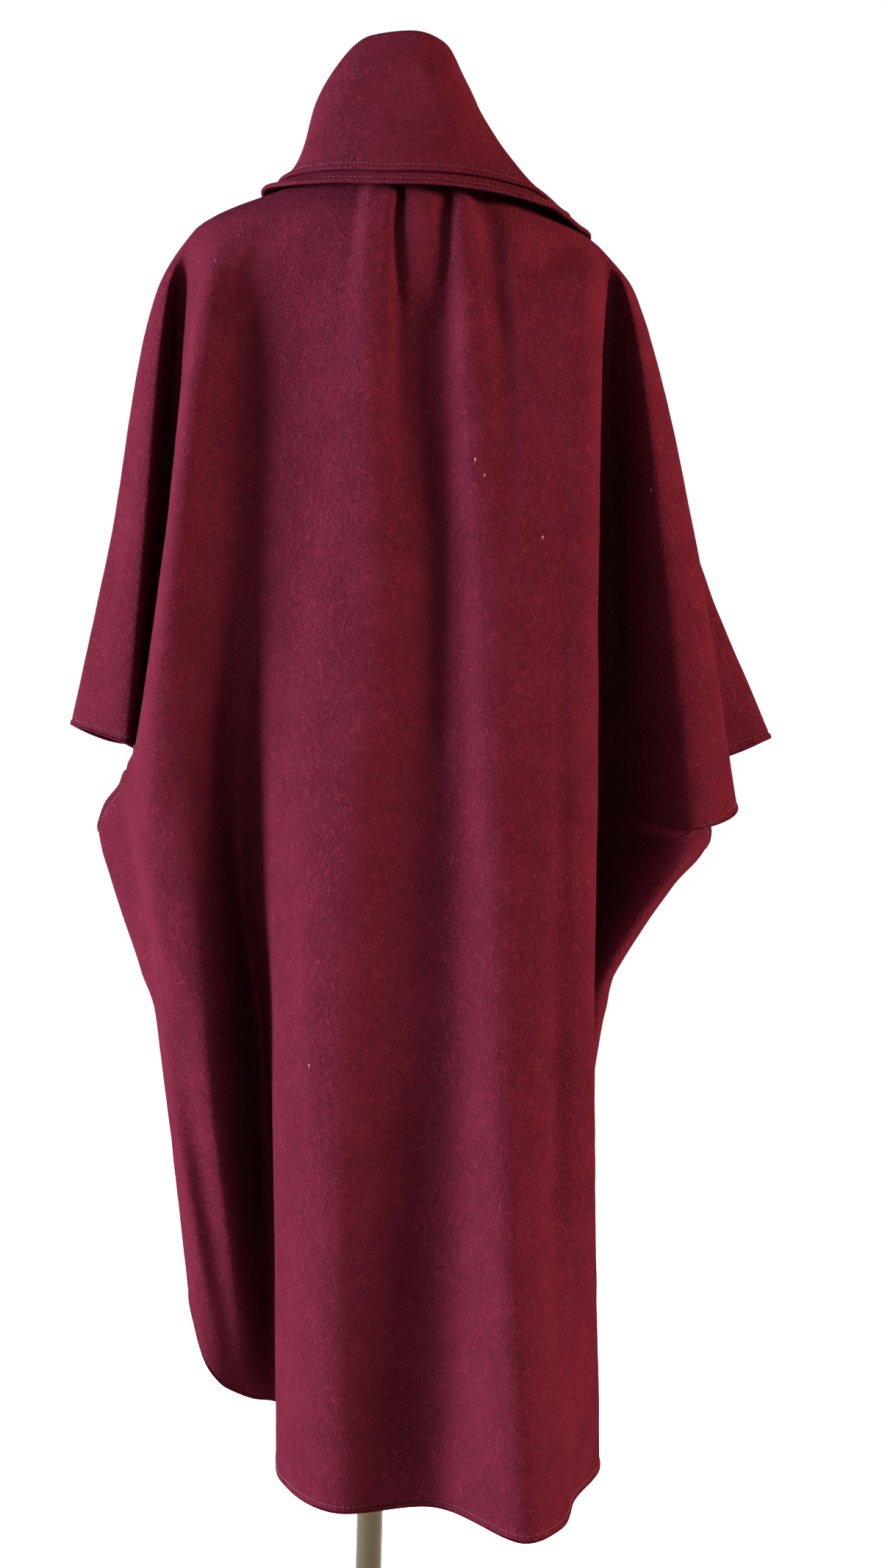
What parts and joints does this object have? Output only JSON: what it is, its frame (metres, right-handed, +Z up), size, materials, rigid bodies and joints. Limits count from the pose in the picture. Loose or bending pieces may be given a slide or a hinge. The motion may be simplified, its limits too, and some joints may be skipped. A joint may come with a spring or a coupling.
{
  "type": "wool cape coat on a dress form",
  "caption": "Long wool cape coat with batwing sleeves and a tall double fold-over collar, open at the front, hanging in folds on a limbless dress form with a pole and a round base.",
  "frame": {"origin": "centre of the round base's underside, on the pole's axis, at floor level", "axes": "+Z up along the pole; -Y is the way the coat's open front faces, so the back panel is at +Y; +X is the wearer's left"},
  "size_m": [0.651, 0.39, 1.5766],
  "materials": {
    "wine_wool": "napped wool cloth, soft and matt with a slight sheen on the folds",
    "form_linen": "smooth plain linen cover",
    "satin_metal": "satin, grey-brown"
  },
  "bodies": {
    "root": {"back": "wine_wool", "front_left": "wine_wool", "front_right": "wine_wool", "collar_upper": "wine_wool", "collar_under": "wine_wool", "form_torso": "form_linen", "form_neck_cap": "satin_metal", "form_collet": "satin_metal", "form_pole": "satin_metal", "form_base": "satin_metal"}
  },
  "joints": []
}
